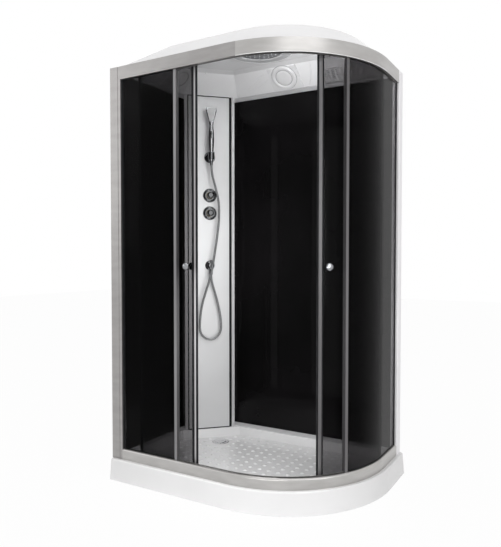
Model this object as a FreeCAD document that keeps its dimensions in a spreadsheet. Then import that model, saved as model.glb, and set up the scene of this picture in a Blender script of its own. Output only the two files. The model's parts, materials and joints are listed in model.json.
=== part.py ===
"""Shower cabin: offset quadrant enclosure with tray, sliding doors, column and roof.

Row frame, millimetres: +Z up, origin on the floor under the centre of the tray.
The walls stand at the left (-X) and the back (+Y); the doors are at the front (-Y).
"""
import FreeCAD, Part
import Sketcher
import math
import os
from types import SimpleNamespace

DRIVING_SIZES = {
    # tray
    "tray_length": 1200, "tray_width": 800, "corner_radius": 550, "tray_height": 98,
    "skirt_flare": 8, "acrylic": 5, "basin_floor": 58, "deck_front": 85, "deck_wall": 44,
    "basin_slope": 18, "frame_tube": 20,
    # aluminium frame
    "rail_inset": 25, "rail_depth": 38, "rail_wall": 3, "bottom_rail": 50, "top_rail": 60,
    "frame_top": 1950, "post_width": 62, "post_step": 46, "seam_angle": 4.9,
    # glazing
    "glass": 5, "fixed_line": 13.5, "door_line": 44, "left_fixed_edge": 382,
    "right_fixed_angle": 57.8, "edge_width": 14, "edge_depth": 20,
    # doors, both open
    "left_door_lead": 471, "left_door_span": 327, "right_door_lead": 44.26,
    "right_door_trail": 97.8, "door_top": 1940, "door_foot": 105,
    "seal_width": 6, "stile_width": 15, "handle_setback": 47, "handle_height": 1020,
    "left_travel": 225, "right_travel": 38.62,
    # rollers
    "wheel_line": 31.5, "wheel_tread": 9.5, "wheel_flange": 11.5, "track_lip": 20,
    "running_gap": 0.3, "front_wheel_setback": 50, "left_rear_setback": 297,
    "right_rear_setback": 386,
    # walls and column
    "wall_glass_line": 25, "wall_profile_line": 12, "wall_profile_depth": 22,
    "wall_profile_height": 20, "column_line": 300, "column_start": 35, "column_sheet": 3,
    "column_return": 18, "column_centre": 157, "column_low": 40, "column_high": 267,
    "column_edge_low": 17, "column_edge_high": 297, "column_edge_width": 16,
    "wall_glass_end": 225,
    # fittings on the column
    "diverter_height": 1402, "mixer_height": 1304, "outlet_height": 1014,
    "holder_height": 1612, "handset_reach": 48, "hose_diameter": 12,
    # roof
    "roof_skin": 4, "roof_height": 2055, "shoulder_height": 2045, "cove_run": 105,
    "cove_start": 41, "rain_x": -4, "rain_y": 10, "rain_radius": 164,
    # waste
    "drain_x": -346, "drain_y": 187, "waste_pipe": 40, "waste_notch": 62,
}

doc = FreeCAD.newDocument("shower_cabin")
sheet = doc.addObject("Spreadsheet::Sheet", "sizes")
S = SimpleNamespace()
nodes = []
X_AXIS = FreeCAD.Vector(1, 0, 0)
Z_AXIS = FreeCAD.Vector(0, 0, 1)
TURN_OUT = FreeCAD.Rotation(X_AXIS, 90)


class Size:
    """A number that keeps the sheet expression it comes from."""

    def __init__(self, value, text):
        self.value = value
        self.text = text

    def __add__(self, other):
        return Size(self.value + num(other), f"({self.text} + {text_of(other)})")

    def __radd__(self, other):
        return Size(num(other) + self.value, f"({text_of(other)} + {self.text})")

    def __sub__(self, other):
        return Size(self.value - num(other), f"({self.text} - {text_of(other)})")

    def __rsub__(self, other):
        return Size(num(other) - self.value, f"({text_of(other)} - {self.text})")

    def __mul__(self, other):
        return Size(self.value * num(other), f"({self.text} * {text_of(other)})")

    def __rmul__(self, other):
        return Size(num(other) * self.value, f"({text_of(other)} * {self.text})")

    def __truediv__(self, other):
        return Size(self.value / num(other), f"({self.text} / {text_of(other)})")

    def __rtruediv__(self, other):
        return Size(num(other) / self.value, f"({text_of(other)} / {self.text})")

    def __neg__(self):
        return Size(-self.value, f"(0 - {self.text})")


def num(value):
    return value.value if isinstance(value, Size) else float(value)


def text_of(value):
    return value.text if isinstance(value, Size) else f"({float(value):.9g})"


def sine(angle):
    return Size(math.sin(math.radians(num(angle))), f"sin({text_of(angle)} * 1 deg)")


def cosine(angle):
    return Size(math.cos(math.radians(num(angle))), f"cos({text_of(angle)} * 1 deg)")


def bind(item, prop, value):
    """Sets a property, through the sheet when the value comes from it."""
    if isinstance(value, Size):
        item.setExpression(prop, value.text)
    else:
        setattr(item, prop, value)


for row, (alias, amount) in enumerate(DRIVING_SIZES.items(), start=1):
    sheet.set(f"A{row}", alias)
    sheet.set(f"B{row}", str(amount))
    sheet.setAlias(f"B{row}", alias)
    setattr(S, alias, Size(float(amount), f"sizes.{alias}"))
doc.recompute()

LEFT = -S.tray_length / 2
RIGHT = S.tray_length / 2
BACK = S.tray_width / 2
FRONT = -S.tray_width / 2
ARC_X = RIGHT - S.corner_radius
ARC_Y = FRONT + S.corner_radius
RAIL_RADIUS = S.corner_radius - S.rail_inset
RAIL_FRONT = FRONT + S.rail_inset
RAIL_BASE = S.tray_height
RAIL_BASE_TOP = S.tray_height + S.bottom_rail
HEAD_FOOT = S.frame_top - S.top_rail
DOOR_RADIUS = RAIL_RADIUS - S.door_line - S.glass / 2
WALL_GAP = 2


# ---------------------------------------------------------------- drawing helpers

def keep(item, label):
    item.Label = label
    nodes.append(item)
    return item


def new_body(label):
    return keep(doc.addObject("PartDesign::Body", label), label)


def sketch_in(body, role, name, offset=0):
    """A sketch on one of the body's own origin planes, moved along its normal."""
    sketch = body.newObject("Sketcher::SketchObject", f"{body.Name}_{name}")
    plane = [item for item in body.Origin.OriginFeatures if item.Role == role][0]
    sketch.AttachmentSupport = [(plane, "")]
    sketch.MapMode = "FlatFace"
    if isinstance(offset, Size):
        sketch.setExpression("AttachmentOffset.Base.z", offset.text)
    elif offset:
        sketch.AttachmentOffset = FreeCAD.Placement(FreeCAD.Vector(0, 0, offset), FreeCAD.Rotation())
    return sketch


def fix_point(sketch, edge, end, x, y):
    for kind, value in (("DistanceX", x), ("DistanceY", y)):
        index = sketch.addConstraint(Sketcher.Constraint(kind, -1, 1, edge, end, num(value)))
        if isinstance(value, Size):
            sketch.setExpression(f"Constraints[{index}]", value.text)


def draw_loop(sketch, corners):
    """Closed loop of corners (x, y); a third value bends the edge that starts there.

    The third value is the arc's radius, positive where the arc turns left.
    """
    ends = []
    for i, corner in enumerate(corners):
        after = corners[(i + 1) % len(corners)]
        start = FreeCAD.Vector(num(corner[0]), num(corner[1]), 0)
        finish = FreeCAD.Vector(num(after[0]), num(after[1]), 0)
        if len(corner) == 2:
            edge = sketch.addGeometry(Part.LineSegment(start, finish))
            ends.append((edge, 1, 2))
            continue
        radius = abs(num(corner[2]))
        turn = math.copysign(1, num(corner[2]))
        chord = finish - start
        rise = math.sqrt(max(radius ** 2 - chord.Length ** 2 / 4, 0))
        across = FreeCAD.Vector(-chord.y, chord.x, 0).normalize()
        centre = (start + finish) / 2 + across * rise * turn
        first = math.atan2(start.y - centre.y, start.x - centre.x)
        last = math.atan2(finish.y - centre.y, finish.x - centre.x)
        if turn < 0:
            first, last = last, first
        if last < first:
            last += 2 * math.pi
        circle = Part.Circle(centre, Z_AXIS, radius)
        edge = sketch.addGeometry(Part.ArcOfCircle(circle, first, last))
        ends.append((edge, 1, 2) if turn > 0 else (edge, 2, 1))
        index = sketch.addConstraint(Sketcher.Constraint("Radius", edge, radius))
        if isinstance(corner[2], Size):
            bend = corner[2] if turn > 0 else -corner[2]
            sketch.setExpression(f"Constraints[{index}]", bend.text)
    for i, (edge, start_end, finish_end) in enumerate(ends):
        next_edge, next_start, _ = ends[(i + 1) % len(ends)]
        sketch.addConstraint(Sketcher.Constraint("Coincident", edge, finish_end, next_edge, next_start))
        fix_point(sketch, edge, start_end, corners[i][0], corners[i][1])


def draw_circle(sketch, x, y, radius):
    centre = FreeCAD.Vector(num(x), num(y), 0)
    edge = sketch.addGeometry(Part.Circle(centre, Z_AXIS, num(radius)))
    index = sketch.addConstraint(Sketcher.Constraint("Radius", edge, num(radius)))
    if isinstance(radius, Size):
        sketch.setExpression(f"Constraints[{index}]", radius.text)
    fix_point(sketch, edge, 3, x, y)


def pad(body, sketch, length, back=False, name="pad"):
    feature = body.newObject("PartDesign::Pad", f"{body.Name}_{name}")
    feature.Profile = sketch
    bind(feature, "Length", length)
    feature.Reversed = back
    return feature


def pocket(body, sketch, length, back=False, name="pocket"):
    feature = body.newObject("PartDesign::Pocket", f"{body.Name}_{name}")
    feature.Profile = sketch
    bind(feature, "Length", length)
    feature.Reversed = back
    return feature


def revolve(body, sketch, angle=360, back=False, name="turn"):
    feature = body.newObject("PartDesign::Revolution", f"{body.Name}_{name}")
    feature.Profile = sketch
    feature.ReferenceAxis = (sketch, ["V_Axis"])
    bind(feature, "Angle", angle)
    feature.Reversed = back
    return feature


def repeat_round(body, feature, count):
    """Repeats a feature evenly about the body's Z axis."""
    pattern = body.newObject("PartDesign::PolarPattern", f"{feature.Name}_round")
    pattern.Originals = [feature]
    pattern.Axis = ([item for item in body.Origin.OriginFeatures if item.Role == "Z_Axis"][0], [""])
    pattern.Angle = 360
    pattern.Occurrences = count
    body.Tip = pattern


def repeat_along(body, feature, sketch, length, count):
    """Repeats a feature evenly along its sketch's horizontal axis."""
    pattern = body.newObject("PartDesign::LinearPattern", f"{feature.Name}_row")
    pattern.Originals = [feature]
    pattern.Direction = (sketch, ["H_Axis"])
    pattern.Length = length
    pattern.Occurrences = count
    body.Tip = pattern


def loft(body, sections, kind="AdditiveLoft", name="loft"):
    """Straight-sided loft through (height, corners) sections."""
    sketches = []
    for i, (height, corners) in enumerate(sections):
        sketch = sketch_in(body, "XY_Plane", f"{name}_{i}", height)
        draw_loop(sketch, corners)
        sketches.append(sketch)
    feature = body.newObject(f"PartDesign::{kind}", f"{body.Name}_{name}")
    feature.Profile = sketches[0]
    feature.Sections = sketches[1:]
    feature.Ruled = True
    return feature


def upright(label, corners, foot, top, placement=None):
    """A vertical extrusion of a plan outline."""
    body = new_body(label)
    sketch = sketch_in(body, "XY_Plane", "plan", foot)
    draw_loop(sketch, corners)
    pad(body, sketch, top - foot)
    if placement:
        body.Placement = placement
    return body


def turned(label, corners, placement=None):
    """A turned piece from (radius, height) corners about its own Z axis."""
    body = new_body(label)
    sketch = sketch_in(body, "XZ_Plane", "profile")
    draw_loop(sketch, corners)
    revolve(body, sketch)
    if placement:
        body.Placement = placement
    return body


def as_group(label, items):
    """One node of several separate solids."""
    for item in items:
        nodes.remove(item)
    group = keep(doc.addObject("Part::Compound", label), label)
    group.Links = items
    return group


def drilled(label, base, holes):
    """Cuts round holes through a piece; holes are (placement, radius, length)."""
    nodes.remove(base)
    base.Label = f"{label}_blank"
    drills = []
    for i, (placement, radius, length) in enumerate(holes):
        drill = doc.addObject("Part::Cylinder", f"{label}_drill_{i}")
        drill.Radius = num(radius)
        drill.Height = num(length)
        drill.Placement = placement
        drills.append(drill)
    cutter = drills[0]
    if len(drills) > 1:
        cutter = doc.addObject("Part::MultiFuse", f"{label}_drills")
        cutter.Shapes = drills
    cut = keep(doc.addObject("Part::Cut", label), label)
    cut.Base = base
    cut.Tool = cutter
    return cut


def block(name, low, high, placement=None):
    """A plain box between two corners, bound to the sheet."""
    box = keep(doc.addObject("Part::Box", name), name)
    for prop, a, b in zip(("Length", "Width", "Height"), low, high):
        bind(box, prop, b - a)
    corner = FreeCAD.Placement(FreeCAD.Vector(*[num(value) for value in low]), FreeCAD.Rotation())
    box.Placement = placement.multiply(corner) if placement else corner
    return box


def at(x, y, z=0, angle=0):
    """Placement at a point of the row frame, turned about Z."""
    return FreeCAD.Placement(
        FreeCAD.Vector(num(x), num(y), num(z)), FreeCAD.Rotation(Z_AXIS, num(angle)))


def facing(frame, x, inward, height):
    """Placement for a turned piece whose Z axis points out of a glazing or panel frame."""
    return frame.multiply(FreeCAD.Placement(
        FreeCAD.Vector(num(x), num(inward), num(height)), TURN_OUT))


def cabin_outline(front_inset, wall_inset, front_left, back_right, column):
    """Plan outline, moved in from the tray's edges; column is the diagonal's line."""
    x_low = LEFT + wall_inset
    x_high = RIGHT - front_inset
    y_low = FRONT + front_inset
    y_high = BACK - wall_inset
    slant = BACK - LEFT - column
    return [
        (x_low + front_left, y_low),
        (ARC_X, y_low, S.corner_radius - front_inset),
        (x_high, ARC_Y),
        (x_high, y_high - back_right, Size(num(back_right), text_of(back_right))),
        (x_high - back_right, y_high),
        (y_high - slant, y_high),
        (x_low, x_low + slant),
        (x_low, y_low + front_left, Size(num(front_left), text_of(front_left))),
    ]


def glazing_frame(side, setback, fixed=False):
    """Frame on the rail's outer face: X along the rail, Y into the cabin.

    setback is counted from the free edge of the door, or of the fixed pane.
    """
    if side == "left":
        edge = S.left_fixed_edge if fixed else S.left_door_lead
        return at(LEFT + edge - setback, RAIL_FRONT)
    edge = S.right_fixed_angle if fixed else S.right_door_lead
    angle = num(edge) + math.degrees(num(setback) / num(DOOR_RADIUS))
    return at(ARC_X + RAIL_RADIUS * sine(angle), ARC_Y - RAIL_RADIUS * cosine(angle), 0, angle)


SIDES = {"left": -1, "right": 1}


# ---------------------------------------------------------------- tray and waste

def make_tray():
    body = new_body("shower_tray")
    loft(body, [
        (Size(0, "0"), cabin_outline(Size(0, "0"), Size(0, "0"), 14, 14, 20)),
        (S.tray_height - 5, cabin_outline(S.skirt_flare, S.skirt_flare / 4, 14, 14, 22)),
        (S.tray_height, cabin_outline(S.skirt_flare + 4, S.skirt_flare / 4 + 4, 14, 14, 26)),
    ], name="skirt")
    rim = (S.tray_height, cabin_outline(S.deck_front, S.deck_wall, 60, 60, S.column_line + 14))
    floor = (S.basin_floor, cabin_outline(
        S.deck_front + S.basin_slope, S.deck_wall + S.basin_slope, 50, 50,
        S.column_line + 14 + 2 * S.basin_slope))
    loft(body, [rim, floor], "SubtractiveLoft", "basin")
    inside = cabin_outline(S.acrylic + S.skirt_flare, S.acrylic + S.skirt_flare / 4, 12, 12, 34)
    under_floor = sketch_in(body, "XY_Plane", "under_floor")
    draw_loop(under_floor, inside)
    pocket(body, under_floor, S.basin_floor - S.acrylic, back=True, name="hollow")
    ring = sketch_in(body, "XY_Plane", "ring", S.basin_floor - S.acrylic)
    draw_loop(ring, inside)
    draw_loop(ring, cabin_outline(
        S.deck_front - S.acrylic, S.deck_wall - S.acrylic, 64, 64, S.column_line))
    pocket(body, ring, S.tray_height - S.basin_floor, back=True, name="deck_hollow")
    hole = sketch_in(body, "XY_Plane", "waste_hole")
    draw_circle(hole, S.drain_x, S.drain_y, 31)
    pocket(body, hole, S.basin_floor, back=True, name="waste")
    seat = sketch_in(body, "XY_Plane", "waste_seat", S.basin_floor - 2)
    draw_circle(seat, S.drain_x, S.drain_y, 47)
    pocket(body, seat, 2, back=True, name="waste_recess")
    notch = sketch_in(body, "XY_Plane", "notch")
    low = S.drain_x - S.waste_notch / 2
    high = S.drain_x + S.waste_notch / 2
    draw_loop(notch, [(low, BACK - 20), (high, BACK - 20), (high, BACK + 2), (low, BACK + 2)])
    pocket(body, notch, S.basin_floor - S.acrylic, back=True, name="waste_notch")


def make_tray_frame():
    foot = S.basin_floor - S.acrylic - S.frame_tube
    top = S.basin_floor - S.acrylic
    half = S.frame_tube / 2
    rows = []
    for name, y, x_low, x_high in (("front", -230, -570, 390), ("middle", 60, -570, 560),
                                   ("rear", 300, -290, 560)):
        rows.append(block(f"frame_{name}", (x_low, y - half, foot), (x_high, y + half, top)))
    posts = []
    for name, x, y_low, y_high in (("left", -545, -360, 360), ("centre", 60, -360, 360),
                                   ("right", 380, -230, 360)):
        posts.append(block(f"frame_{name}", (x - half, y_low, foot), (x + half, y_high, top)))
    for item in rows + posts:
        nodes.remove(item)
    frame = keep(doc.addObject("Part::MultiFuse", "tray_frame"), "tray_frame")
    frame.Shapes = rows + posts


FOOT_PLACES = ((-545, -330), (-545, 330), (60, -330), (60, 330), (380, -215), (380, 330))


def make_tray_feet():
    height = num(S.basin_floor - S.acrylic - S.frame_tube)
    feet = []
    for i, (x, y) in enumerate(FOOT_PLACES):
        feet.append(turned(f"tray_foot_{i}", [
            (0, 0), (20, 0), (20, 5), (8, 9), (8, height), (0, height)], at(x, y)))
    as_group("tray_feet", feet)


def make_waste():
    floor = num(S.basin_floor)
    under = floor - num(S.acrylic)
    pipe = num(S.waste_pipe) / 2
    spot = at(S.drain_x, S.drain_y)
    turned("drain_flange", [
        (24, floor - 9), (30, floor - 9), (30, floor - 2), (46, floor - 2), (46, floor),
        (43, floor + 1.5), (33, floor + 1.5), (33, floor - 0.5), (24, floor - 0.5)], spot)
    turned("drain_cover", [
        (0, floor - 0.5), (32, floor - 0.5), (32, floor + 2), (28, floor + 4), (0, floor + 5)],
        spot)
    body = new_body("drain_trap")
    cup = sketch_in(body, "XZ_Plane", "cup")
    draw_loop(cup, [
        (0, 3), (50, 3), (50, under - 5), (54, under - 5), (54, under), (31, under),
        (31, under - 8), (46, under - 8), (46, 7), (0, 7)])
    revolve(body, cup)
    socket = sketch_in(body, "XZ_Plane", "socket", -46)
    draw_circle(socket, 0, pipe + 4.5, pipe + 3)
    pad(body, socket, 16, back=True, name="socket")
    outlet = sketch_in(body, "XZ_Plane", "outlet", -62)
    draw_circle(outlet, 0, pipe + 4.5, pipe)
    pad(body, outlet, 78, back=True, name="spigot")
    bore = sketch_in(body, "XZ_Plane", "bore", -47)
    draw_circle(bore, 0, pipe + 4.5, pipe - 3)
    pocket(body, bore, 120, name="spigot_bore")
    body.Placement = spot


# ---------------------------------------------------------------- rails and posts

def head_section(sign):
    """Top rail: (across, height) corners; across is signed distance from the arc's axis."""
    lip_out = S.wheel_line + 1.5
    lip_in = S.wheel_line - 1.5
    slot = S.fixed_line - 0.5
    shape = [
        (0, 0), (0, S.top_rail), (S.rail_depth, S.top_rail), (S.rail_depth, S.top_rail - 6),
        (S.rail_depth - 2, S.top_rail - 6), (S.rail_depth - 2, S.top_rail - S.rail_wall),
        (S.rail_wall, S.top_rail - S.rail_wall), (S.rail_wall, 14), (lip_in, 14),
        (lip_in, S.track_lip), (lip_out, S.track_lip), (lip_out, 11), (slot + 10, 11),
        (slot + 10, 0), (slot + 6, 0), (slot + 6, 9), (slot, 9), (slot, 0)]
    return [((RAIL_RADIUS - d) * sign, HEAD_FOOT + h) for d, h in shape]


def sill_section(sign):
    """Bottom rail: rounded outer face, glass slot on top, track lip hanging inside."""
    lip_out = S.wheel_line + 1.5
    lip_in = S.wheel_line - 1.5
    slot = S.fixed_line - 0.5
    round_over = S.fixed_line - 3
    flat = S.bottom_rail - 14
    shape = [
        (0, 0), (0, S.bottom_rail - round_over, "round"), (round_over, S.bottom_rail),
        (slot, S.bottom_rail), (slot, S.bottom_rail - 9), (slot + 6, S.bottom_rail - 9),
        (slot + 6, S.bottom_rail), (slot + 10, S.bottom_rail), (slot + 10, flat + 3),
        (lip_out, flat + 3), (lip_out, flat - 6), (lip_in, flat - 6), (lip_in, flat),
        (S.rail_wall, flat), (S.rail_wall, S.rail_wall), (S.rail_depth - 2, S.rail_wall),
        (S.rail_depth - 2, 6), (S.rail_depth, 6), (S.rail_depth, 0)]
    corners = []
    for point in shape:
        corner = ((RAIL_RADIUS - point[0]) * sign, RAIL_BASE + point[1])
        if len(point) == 3:
            corner += (round_over * sign,)
        corners.append(corner)
    return corners


LEFT_RUN = ARC_X - LEFT - WALL_GAP - S.post_width
RIGHT_RUN = BACK - ARC_Y - WALL_GAP - S.post_width


def make_bottom_rail():
    body = new_body("bottom_rail")
    side = sketch_in(body, "XZ_Plane", "side_section")
    draw_loop(side, sill_section(1))
    revolve(body, side, 90, back=True, name="bend")
    pad(body, side, RIGHT_RUN, back=True, name="right_run")
    front = sketch_in(body, "YZ_Plane", "front_section")
    draw_loop(front, sill_section(-1))
    pad(body, front, LEFT_RUN, back=True, name="left_run")
    body.Placement = at(ARC_X, ARC_Y)


def make_top_rails():
    straight = new_body("top_rail_straight")
    front = sketch_in(straight, "YZ_Plane", "front_section")
    draw_loop(front, head_section(-1))
    pad(straight, front, LEFT_RUN, back=True, name="left_run")
    revolve(straight, front, S.seam_angle, name="bend")
    straight.Placement = at(ARC_X, ARC_Y)
    curved = new_body("top_rail_curved")
    side = sketch_in(curved, "XZ_Plane", "side_section")
    draw_loop(side, head_section(1))
    revolve(curved, side, 90 - S.seam_angle, back=True, name="bend")
    pad(curved, side, RIGHT_RUN, back=True, name="right_run")
    curved.Placement = at(ARC_X, ARC_Y)


def post_outline(mirror):
    """Wall channel with the jamb stepping in from it; X along the pane, Y inwards."""
    w = S.post_width
    step = S.post_step
    depth = S.rail_depth
    plan = [
        (0, 0), (step, 0), (step, 1.5), (w, 1.5), (w, S.fixed_line), (w - 8, S.fixed_line),
        (w - 8, S.fixed_line + S.glass), (w, S.fixed_line + S.glass), (w, depth - 10),
        (step, depth - 10), (step, depth), (0, depth)]
    return [((mirror * x), y) for x, y in plan]


def make_posts():
    upright("left_wall_post", post_outline(1), S.tray_height, S.frame_top,
            at(LEFT + WALL_GAP, RAIL_FRONT))
    upright("right_wall_post", post_outline(-1), S.tray_height, S.frame_top,
            at(RIGHT - S.rail_inset, BACK - WALL_GAP, 0, 90))


# ---------------------------------------------------------------- fixed panes

def band(inner, outer, start, finish):
    """Plan outline of a curved strip about the arc's axis, angles from the front."""
    return [
        (outer * sine(start), -outer * cosine(start), outer),
        (outer * sine(finish), -outer * cosine(finish)),
        (inner * sine(finish), -inner * cosine(finish), -inner),
        (inner * sine(start), -inner * cosine(start)),
    ]


def make_fixed_panes():
    foot = RAIL_BASE_TOP - 8
    top = HEAD_FOOT + 8
    y_out = RAIL_FRONT + S.fixed_line
    x_low = LEFT + WALL_GAP + S.post_width - 8
    x_high = LEFT + S.left_fixed_edge - S.edge_width + 6
    upright("left_fixed_glass", [
        (x_low, y_out), (x_high, y_out), (x_high, y_out + S.glass), (x_low, y_out + S.glass)],
        foot, top)
    outer = RAIL_RADIUS - S.fixed_line
    inner = outer - S.glass
    start = S.right_fixed_angle + (S.edge_width - 5.6) / DOOR_RADIUS * (180 / math.pi)
    y_end = RIGHT_RUN + 8
    upright("right_fixed_glass", [
        (outer * sine(start), -outer * cosine(start), outer), (outer, 0), (outer, y_end),
        (inner, y_end), (inner, 0, -inner), (inner * sine(start), -inner * cosine(start))],
        foot, top, at(ARC_X, ARC_Y))
    for side, sign in SIDES.items():
        middle = S.edge_width - 3
        edge = -middle * sign
        width = 3 * sign
        floor = -3 * sign
        web = (4 - middle) * sign
        near = S.fixed_line - 4
        slot = S.fixed_line - 0.1
        far = near + S.edge_depth
        upright(f"{side}_fixed_edge", [
            (edge, near), (width, near), (width, slot), (floor, slot),
            (floor, slot + S.glass + 0.2), (width, slot + S.glass + 0.2), (width, near + 13),
            (web, near + 13), (web, far), (edge, far)],
            RAIL_BASE_TOP, HEAD_FOOT, glazing_frame(side, middle, fixed=True))


def make_jamb_gaskets():
    strips = []
    near = S.fixed_line - 4
    for side, sign, frame in (
            ("left", 1, at(LEFT + WALL_GAP + S.post_width, RAIL_FRONT)),
            ("right", -1, at(RIGHT - S.rail_inset, BACK - WALL_GAP - S.post_width, 0, 90))):
        strips.append(upright(f"{side}_jamb_gasket", [
            (0, near), (9 * sign, near), (9 * sign, S.fixed_line), (0, S.fixed_line)],
            RAIL_BASE_TOP, HEAD_FOOT, frame))
    as_group("jamb_gaskets", strips)


# ---------------------------------------------------------------- sliding doors

def wheel_places(side):
    """(name, setback, height, track) of the four wheels of one door."""
    rear = S.left_rear_setback if side == "left" else S.right_rear_setback
    top = HEAD_FOOT + S.track_lip + S.running_gap + S.wheel_tread
    low = RAIL_BASE + S.bottom_rail - 20 - S.running_gap - S.wheel_tread
    return [
        ("top_front", S.front_wheel_setback, top), ("top_rear", rear, top),
        ("low_front", S.front_wheel_setback, low), ("low_rear", rear, low)]


def make_door_glass(side):
    begin = S.seal_width + S.stile_width - 5.9
    if side == "left":
        x_high = LEFT + S.left_door_lead - begin
        x_low = LEFT + S.left_door_lead - S.left_door_span + 4.1
        y = RAIL_FRONT + S.door_line
        pane = upright("left_door_glass", [
            (x_low, y), (x_high, y), (x_high, y + S.glass), (x_low, y + S.glass)],
            S.door_foot, S.door_top)
    else:
        start = S.right_door_lead + begin / DOOR_RADIUS * (180 / math.pi)
        finish = S.right_door_trail - 4.1 / DOOR_RADIUS * (180 / math.pi)
        pane = upright("right_door_glass", band(
            DOOR_RADIUS - S.glass / 2, DOOR_RADIUS + S.glass / 2, start, finish),
            S.door_foot, S.door_top, at(ARC_X, ARC_Y))
    holes = []
    places = [(setback, height, 5) for _, setback, height in wheel_places(side)]
    places.append((S.handle_setback, S.handle_height, 6))
    for setback, height, radius in places:
        frame = glazing_frame(side, setback)
        holes.append((facing(frame, 0, S.door_line + S.glass + 5, height), radius, 15))
    drilled(f"{side}_door_glass", pane, holes)


def make_door_edges(side, sign):
    """Leading stile with its magnet seal, and the wiper on the trailing edge."""
    near = S.door_line - 3
    far = S.door_line + S.glass + 3
    slot = S.door_line - 0.1
    middle = S.seal_width + S.stile_width - 3
    begin = (S.seal_width - middle) * sign
    frame = glazing_frame(side, middle)
    upright(f"{side}_door_stile", [
        (begin, near), (3 * sign, near), (3 * sign, slot), (-3 * sign, slot),
        (-3 * sign, slot + S.glass + 0.2), (3 * sign, slot + S.glass + 0.2), (3 * sign, far),
        (begin, far)], S.door_foot, S.door_top, frame)
    nose = -middle * sign
    cheek = (3 - middle) * sign
    magnet = upright(f"{side}_magnet_seal", [
        (nose, near + 2), (cheek, near), (begin, near), (begin, far), (cheek, far),
        (nose, far - 2)], S.door_foot, S.door_top, frame)
    gasket = upright(f"{side}_stile_gasket", [
        (3 * sign, S.door_line - 1.8), (10.5 * sign, S.door_line - 1), (10.5 * sign, S.door_line),
        (3 * sign, S.door_line)], S.door_foot, S.door_top, frame)
    if side == "left":
        span = S.left_door_span
    else:
        span = (S.right_door_trail - S.right_door_lead) * (math.pi / 180) * DOOR_RADIUS
    wiper = upright(f"{side}_door_wiper", [
        (7 * sign, S.door_line - 8), (5.5 * sign, S.door_line - 8),
        (5.5 * sign, S.door_line - 1.5), (-3 * sign, S.door_line - 1.5), (-3 * sign, slot),
        (3 * sign, slot), (3 * sign, slot + S.glass + 0.2), (-3 * sign, slot + S.glass + 0.2),
        (-3 * sign, far - 1), (7 * sign, far - 1)],
        S.door_foot, S.door_top, glazing_frame(side, span - 7))
    as_group(f"{side}_door_seals", [magnet, wiper, gasket])


def make_handle(side):
    """Round pull on each face of the glass, screwed together through it."""
    frame = glazing_frame(side, S.handle_setback)
    pull = [
        (8.5, 0.1), (8.5, 3), (6.5, 4), (6.5, 10), (10, 13), (16, 15), (17.5, 19), (16, 25),
        (12, 28.5), (0, 30)]
    outer = turned(f"{side}_outer_pull", [(0, -5.1), (5.8, -5.1), (5.8, 0.1)] + pull,
                   facing(frame, 0, S.door_line, S.handle_height))
    back = FreeCAD.Placement(FreeCAD.Vector(0, 0, 0), FreeCAD.Rotation(X_AXIS, 180))
    inner = turned(f"{side}_inner_pull", [(0, 0.1)] + pull,
                   facing(frame, 0, S.door_line + S.glass, S.handle_height).multiply(back))
    as_group(f"{side}_door_handle", [outer, inner])


def make_rollers(side):
    tread = S.wheel_tread
    flange = S.wheel_flange
    carriers = []
    for name, setback, height in wheel_places(side):
        spot = facing(glazing_frame(side, setback), 0, S.wheel_line, height)
        turned(f"{side}_wheel_{name}", [
            (3.05, -4), (flange, -4), (flange, -2), (tread, -2), (tread, 2), (flange, 2),
            (flange, 4), (3.05, 4)], spot)
        carriers.append(turned(f"{side}_carrier_{name}", [
            (0, -26.5), (9, -26.5), (12, -24), (12, -17.8), (4.9, -17.8), (4.9, -12.4),
            (9, -12.4), (5, -4.3), (3, -4.3), (3, 4.2), (4.5, 4.2), (4.5, 5.5),
            (0, 5.5)], spot))
    as_group(f"{side}_door_carriers", carriers)


def make_door_stops():
    """Rubber buffers in the head track, one at each end of each door's travel."""
    floor = HEAD_FOOT + 14
    reach = num(S.wheel_flange) + 1
    closing = num(S.left_travel)
    swing = math.radians(num(S.right_travel)) * num(DOOR_RADIUS)
    spots = {
        "left_open": ("left", S.left_rear_setback + reach + 9),
        "left_shut": ("left", S.front_wheel_setback - closing - reach),
        "right_open": ("right", S.right_rear_setback + reach + 1),
        "right_shut": ("right", S.front_wheel_setback - swing - reach - 9),
    }
    stops = []
    for name, (side, setback) in spots.items():
        stops.append(block(f"stop_{name}", (0, S.wheel_line - 9, floor),
                           (8, S.wheel_line - 2.8, floor + 18),
                           glazing_frame(side, setback)))
    as_group("door_stops", stops)


# ---------------------------------------------------------------- walls and column

def column_frame():
    """Frame on the column's face: X along it, -Y into the cabin."""
    x = LEFT + S.column_start
    return at(x, x + BACK - LEFT - S.column_line, 0, 45)


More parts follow.
